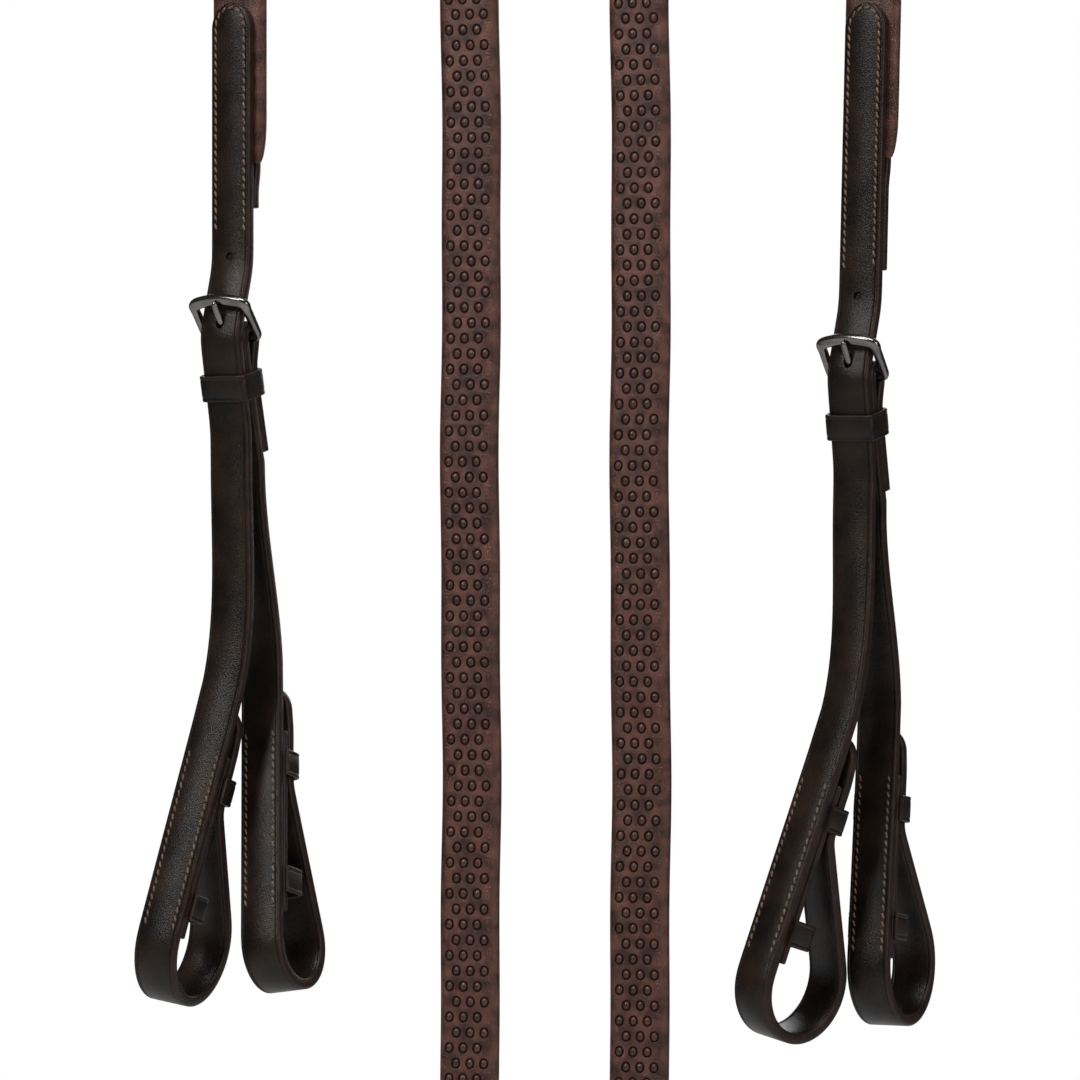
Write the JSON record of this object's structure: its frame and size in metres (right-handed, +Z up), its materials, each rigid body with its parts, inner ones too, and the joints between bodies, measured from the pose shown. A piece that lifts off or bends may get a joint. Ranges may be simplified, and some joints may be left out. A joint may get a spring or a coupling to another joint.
{
  "type": "leather reins",
  "caption": "Rubber-grip riding reins hung in an M: each bit end has a strap with a buckled-on second branch, hook-stud bit loops, and the halves meet in a centre buckle.",
  "frame": {"origin": "midway between the centres of the two arches in which the grips hang over their brackets", "axes": "+Z up, +X from the left half to the right half as seen from the front, -Y towards the viewer"},
  "size_m": [0.2885, 0.0763, 0.8789],
  "materials": {
    "rubber": "matt pimpled rubber with a slight sheen",
    "leather": "dark brown bridle leather, satin, edges reddish",
    "backing": "dark brown leather, flesh side smooth",
    "steel": "satin stainless steel"
  },
  "bodies": {
    "reins": {"left_rein_strap": "leather", "left_rubber_grip": "rubber", "left_front_strap_top": "leather", "right_rein_strap": "leather", "right_rubber_grip": "rubber", "right_front_strap_top": "leather", "centre_keeper": "leather"},
    "left_bit_end": {"left_front_strap_middle": "leather", "left_rear_strap_top": "leather", "left_branch_keeper": "leather"},
    "left_branch_frame": {"left_branch_buckle_frame": "steel"},
    "left_branch_tongue": {"left_branch_buckle_tongue": "steel"},
    "left_front_leg": {"left_front_leg_strap": "leather", "left_front_leg_backing": "backing", "left_front_upper_keeper": "leather", "left_front_lower_keeper": "leather", "left_front_hook_stud": "steel"},
    "left_rear_leg": {"left_rear_leg_strap": "leather", "left_rear_leg_backing": "backing", "left_rear_upper_keeper": "leather", "left_rear_lower_keeper": "leather", "left_rear_hook_stud": "steel"},
    "right_bit_end": {"right_front_strap_middle": "leather", "right_rear_strap_top": "leather", "right_branch_keeper": "leather"},
    "right_branch_frame": {"right_branch_buckle_frame": "steel"},
    "right_branch_tongue": {"right_branch_buckle_tongue": "steel"},
    "right_front_leg": {"right_front_leg_strap": "leather", "right_front_leg_backing": "backing", "right_front_upper_keeper": "leather", "right_front_lower_keeper": "leather", "right_front_hook_stud": "steel"},
    "right_rear_leg": {"right_rear_leg_strap": "leather", "right_rear_leg_backing": "backing", "right_rear_upper_keeper": "leather", "right_rear_lower_keeper": "leather", "right_rear_hook_stud": "steel"},
    "centre_frame": {"centre_buckle_frame": "steel"},
    "centre_tongue": {"centre_buckle_tongue": "steel"}
  },
  "joints": [
    {"name": "left_end_flex", "type": "hinge", "parent": "reins", "child": "left_bit_end", "pos_m": [-0.11495, -0.00441, -0.2027], "axis": [0.8829, -0.4695, 0], "range_deg": [-60, 60], "stiffness_Nm_per_rad": 0.05, "springref_deg": 0.56},
    {"name": "left_frame_swivel", "type": "hinge", "parent": "left_bit_end", "child": "left_branch_frame", "pos_m": [-0.11481, -0.00415, -0.2357], "axis": [0.8829, -0.4695, 0], "range_deg": [-1, 2]},
    {"name": "left_tongue_swing", "type": "hinge", "parent": "left_branch_frame", "child": "left_branch_tongue", "pos_m": [-0.11481, -0.00415, -0.2357], "axis": [0.8829, -0.4695, 0], "range_deg": [0, 3]},
    {"name": "left_front_flex", "type": "hinge", "parent": "left_bit_end", "child": "left_front_leg", "pos_m": [-0.11537, -0.00521, -0.2807], "axis": [0.8829, -0.4695, 0], "range_deg": [-45, 3], "stiffness_Nm_per_rad": 0.03, "springref_deg": -3.35},
    {"name": "left_rear_flex", "type": "hinge", "parent": "left_bit_end", "child": "left_rear_leg", "pos_m": [-0.11133, 0.00238, -0.2807], "axis": [0.8829, -0.4695, 0], "range_deg": [-3, 45], "stiffness_Nm_per_rad": 0.03, "springref_deg": 2.03},
    {"name": "right_end_flex", "type": "hinge", "parent": "reins", "child": "right_bit_end", "pos_m": [0.1088, -0.00265, -0.21656], "axis": [0.8569, -0.5149, -0.0262], "range_deg": [-60, 60], "stiffness_Nm_per_rad": 0.05, "springref_deg": 2.51},
    {"name": "right_frame_swivel", "type": "hinge", "parent": "right_bit_end", "child": "right_branch_frame", "pos_m": [0.10821, -0.00194, -0.24955], "axis": [0.8569, -0.5149, -0.0262], "range_deg": [-1, 2]},
    {"name": "right_tongue_swing", "type": "hinge", "parent": "right_branch_frame", "child": "right_branch_tongue", "pos_m": [0.10821, -0.00194, -0.24955], "axis": [0.8569, -0.5149, -0.0262], "range_deg": [0, 3]},
    {"name": "right_front_flex", "type": "hinge", "parent": "right_bit_end", "child": "right_front_leg", "pos_m": [0.10658, -0.00237, -0.29453], "axis": [0.8569, -0.5149, -0.0262], "range_deg": [-45, 0], "stiffness_Nm_per_rad": 0.03, "springref_deg": -4.51},
    {"name": "right_rear_flex", "type": "hinge", "parent": "right_bit_end", "child": "right_rear_leg", "pos_m": [0.11101, 0.005, -0.29453], "axis": [0.8569, -0.5149, -0.0262], "range_deg": [0, 45], "stiffness_Nm_per_rad": 0.03, "springref_deg": 6.37},
    {"name": "centre_frame_swivel", "type": "hinge", "parent": "reins", "child": "centre_frame", "pos_m": [-0.02855, 0, -0.775], "axis": [0, 1, 0], "range_deg": [-1, 2]},
    {"name": "centre_tongue_swing", "type": "hinge", "parent": "centre_frame", "child": "centre_tongue", "pos_m": [-0.02855, 0, -0.775], "axis": [0, 1, 0], "range_deg": [0, 3]}
  ]
}
